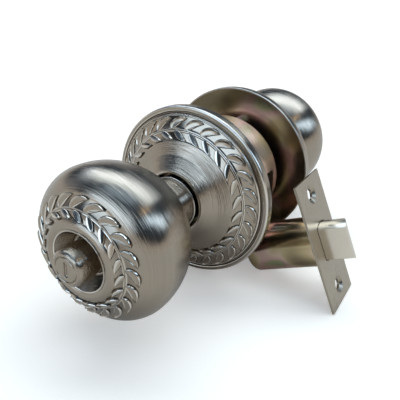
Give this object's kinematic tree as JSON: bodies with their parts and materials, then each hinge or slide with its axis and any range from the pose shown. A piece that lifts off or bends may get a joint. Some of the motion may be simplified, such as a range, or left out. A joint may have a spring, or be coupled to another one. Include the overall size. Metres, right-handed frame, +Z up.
{
  "type": "knob lock",
  "caption": "Round door knob lock with wreath-banded knobs and roses, a push-and-turn privacy button, a keyed outside knob and a separate spring latch.",
  "frame": {"origin": "on the knob axis, halfway through the door, at the centre of the chassis drum", "axes": "+Y along the knob axis from the button side to the key side, +Z up as the lock stands on its two roses, +X towards the latch"},
  "size_m": [0.1086, 0.174, 0.075],
  "materials": {
    "satin_steel": "satin, brushed round the knob axis",
    "zinc_plate": "yellow zinc plate with an iridescent sheen",
    "bright_steel": "bright, nearly polished",
    "spring_steel": "drawn spring wire",
    "brass": "turned brass"
  },
  "bodies": {
    "lock_case": {"chassis_housing": "zinc_plate", "inside_end_plate": "zinc_plate", "outside_end_plate": "zinc_plate", "inside_hub_sleeve": "zinc_plate", "outside_hub_sleeve": "zinc_plate", "inside_mounting_plate": "zinc_plate", "outside_backing_plate": "zinc_plate", "inside_rose": "satin_steel", "outside_rose": "satin_steel", "through_screws": "zinc_plate", "inside_return_spring": "spring_steel", "outside_return_spring": "spring_steel", "retractor_springs": "spring_steel", "latch_face_plate": "bright_steel", "latch_under_plate": "bright_steel", "latch_tube": "zinc_plate", "latch_end_plug": "zinc_plate", "latch_spring": "spring_steel"},
    "retractor_frame": {"retractor": "bright_steel"},
    "inside_knob_set": {"inside_knob": "satin_steel", "inside_knob_neck": "satin_steel", "inside_knob_cup": "satin_steel", "inside_spindle": "zinc_plate", "button_spring": "spring_steel"},
    "button_slide": {"button_carrier": "zinc_plate"},
    "button_set": {"lock_button": "satin_steel", "locking_bar": "zinc_plate"},
    "outside_knob_set": {"outside_knob": "satin_steel", "outside_knob_neck": "satin_steel", "outside_knob_cup": "satin_steel", "outside_spindle": "zinc_plate", "key_cylinder": "brass", "cylinder_pins": "brass"},
    "plug_set": {"key_plug": "brass", "plug_tailpiece": "bright_steel"},
    "bolt_set": {"latch_bolt": "bright_steel", "latch_tail_bar": "zinc_plate"}
  },
  "joints": [
    {"name": "inside_knob_turn", "type": "hinge", "parent": "lock_case", "child": "inside_knob_set", "pos_m": [0, 0, 0], "axis": [0, 1, 0], "range_deg": [0, 60], "stiffness_Nm_per_rad": 0.3, "springref_deg": -5.73},
    {"name": "retractor_slide", "type": "slide", "parent": "lock_case", "child": "retractor_frame", "axis": [-1, 0, 0], "range_m": [0, 0.01048], "deforming": ["retractor_springs"]},
    {"name": "outside_knob_turn", "type": "hinge", "parent": "lock_case", "child": "outside_knob_set", "pos_m": [0, 0, 0], "axis": [0, 1, 0], "range_deg": [-60, 60], "stiffness_Nm_per_rad": 0.3},
    {"name": "button_push", "type": "slide", "parent": "inside_knob_set", "child": "button_slide", "axis": [0, 1, 0], "range_m": [0, 0.005], "stiffness_N_per_m": 400, "springref_m": -0.002, "deforming": ["button_spring"]},
    {"name": "button_turn", "type": "hinge", "parent": "button_slide", "child": "button_set", "pos_m": [0, -0.08, 0], "axis": [0, 1, 0], "range_deg": [0, 90]},
    {"name": "key_plug_turn", "type": "hinge", "parent": "outside_knob_set", "child": "plug_set", "pos_m": [0, 0.07, 0], "axis": [0, 1, 0], "range_deg": [-90, 90]},
    {"name": "latch_bolt_slide", "type": "slide", "parent": "lock_case", "child": "bolt_set", "axis": [-0.8766, 0, -0.4812], "range_m": [0, 0.012], "stiffness_N_per_m": 300, "springref_m": -0.006, "deforming": ["latch_spring"]}
  ],
  "couplings": [
    {"joint": "retractor_slide", "follows": "inside_knob_turn", "m_per_rad": 0.01}
  ]
}
